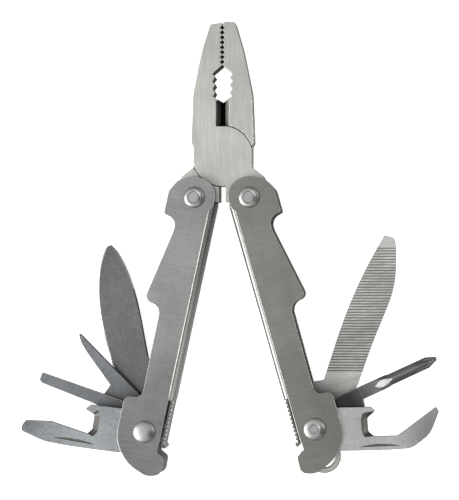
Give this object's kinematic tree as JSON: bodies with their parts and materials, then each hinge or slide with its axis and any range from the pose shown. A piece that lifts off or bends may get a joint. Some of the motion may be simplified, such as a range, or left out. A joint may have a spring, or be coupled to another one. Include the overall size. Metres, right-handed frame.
{
  "type": "multi tool",
  "caption": "Folding pliers multi tool with channel handles spread apart and its blade, awl, drivers, file, openers and lanyard loop fanned out.",
  "frame": {"origin": "on the surface that the tool lies on, under the middle of its outline", "axes": "+Y towards the jaw tips, +Z out of the surface, +X to the right seen from above"},
  "size_m": [0.1384, 0.1506, 0.0179],
  "materials": {
    "head_steel": "fine lengthwise grain",
    "handle_steel": "grain across the handle",
    "blade_steel": "satin",
    "rivet_steel": "polished domes",
    "washer_steel": "satin"
  },
  "bodies": {
    "rear_jaw": {"rear_jaw": "head_steel", "jaw_pivot_pin": "rivet_steel"},
    "front_jaw": {"front_jaw": "head_steel"},
    "left_handle": {"left_handle_shell": "handle_steel", "left_upper_rivet": "rivet_steel", "left_upper_washer_1": "washer_steel", "left_upper_washer_2": "washer_steel", "left_lower_rivet": "rivet_steel", "left_spacer_1": "washer_steel", "left_spacer_2": "washer_steel", "left_spacer_3": "washer_steel"},
    "right_handle": {"right_handle_shell": "handle_steel", "right_upper_rivet": "rivet_steel", "right_upper_washer_1": "washer_steel", "right_upper_washer_2": "washer_steel", "right_lower_rivet": "rivet_steel", "right_spacer_1": "washer_steel", "right_spacer_2": "washer_steel"},
    "knife": {"knife_blade": "blade_steel"},
    "awl": {"awl": "blade_steel"},
    "small_screwdriver": {"small_screwdriver": "blade_steel"},
    "can_opener": {"can_opener": "blade_steel"},
    "file": {"file": "blade_steel"},
    "lanyard_loop": {"lanyard_loop": "blade_steel"},
    "phillips_screwdriver": {"phillips_screwdriver": "blade_steel"},
    "hook_opener": {"hook_opener": "blade_steel"}
  },
  "joints": [
    {"name": "jaw_opening", "type": "hinge", "parent": "rear_jaw", "child": "front_jaw", "pos_m": [-0.00223, 0.03073, 0.00895], "axis": [0, 0, 1], "range_deg": [0, 34]},
    {"name": "left_handle_fold", "type": "hinge", "parent": "rear_jaw", "child": "left_handle", "pos_m": [-0.01133, 0.01693, 0.00895], "axis": [0, 0, 1], "range_deg": [-166.4, 0]},
    {"name": "right_handle_fold", "type": "hinge", "parent": "front_jaw", "child": "right_handle", "pos_m": [0.00687, 0.01693, 0.00895], "axis": [0, 0, -1], "range_deg": [-162.7, 0]},
    {"name": "knife_fold", "type": "hinge", "parent": "left_handle", "child": "knife", "pos_m": [-0.02797, -0.06071, 0.0032], "axis": [0, 0, 1], "range_deg": [-23.1, 156.9]},
    {"name": "awl_fold", "type": "hinge", "parent": "left_handle", "child": "awl", "pos_m": [-0.02797, -0.06071, 0.00765], "axis": [0, 0, 1], "range_deg": [-52.8, 122.9]},
    {"name": "small_screwdriver_fold", "type": "hinge", "parent": "left_handle", "child": "small_screwdriver", "pos_m": [-0.02797, -0.06071, 0.01065], "axis": [0, 0, 1], "range_deg": [-77.4, 96.9]},
    {"name": "can_opener_fold", "type": "hinge", "parent": "left_handle", "child": "can_opener", "pos_m": [-0.02797, -0.06071, 0.01473], "axis": [0, 0, 1], "range_deg": [-91.4, 84.9]},
    {"name": "file_fold", "type": "hinge", "parent": "right_handle", "child": "file", "pos_m": [0.02849, -0.05947, 0.0032], "axis": [0, 0, -1], "range_deg": [-34.1, 144.7]},
    {"name": "lanyard_loop_swing", "type": "hinge", "parent": "right_handle", "child": "lanyard_loop", "pos_m": [0.02849, -0.05947, 0.00495], "axis": [0, 0, -1], "range_deg": [-178, 5]},
    {"name": "phillips_fold", "type": "hinge", "parent": "right_handle", "child": "phillips_screwdriver", "pos_m": [0.02849, -0.05947, 0.00895], "axis": [0, 0, -1], "range_deg": [-79.5, 99.2]},
    {"name": "hook_opener_fold", "type": "hinge", "parent": "right_handle", "child": "hook_opener", "pos_m": [0.02849, -0.05947, 0.01473], "axis": [0, 0, -1], "range_deg": [-99.7, 74.2]}
  ]
}
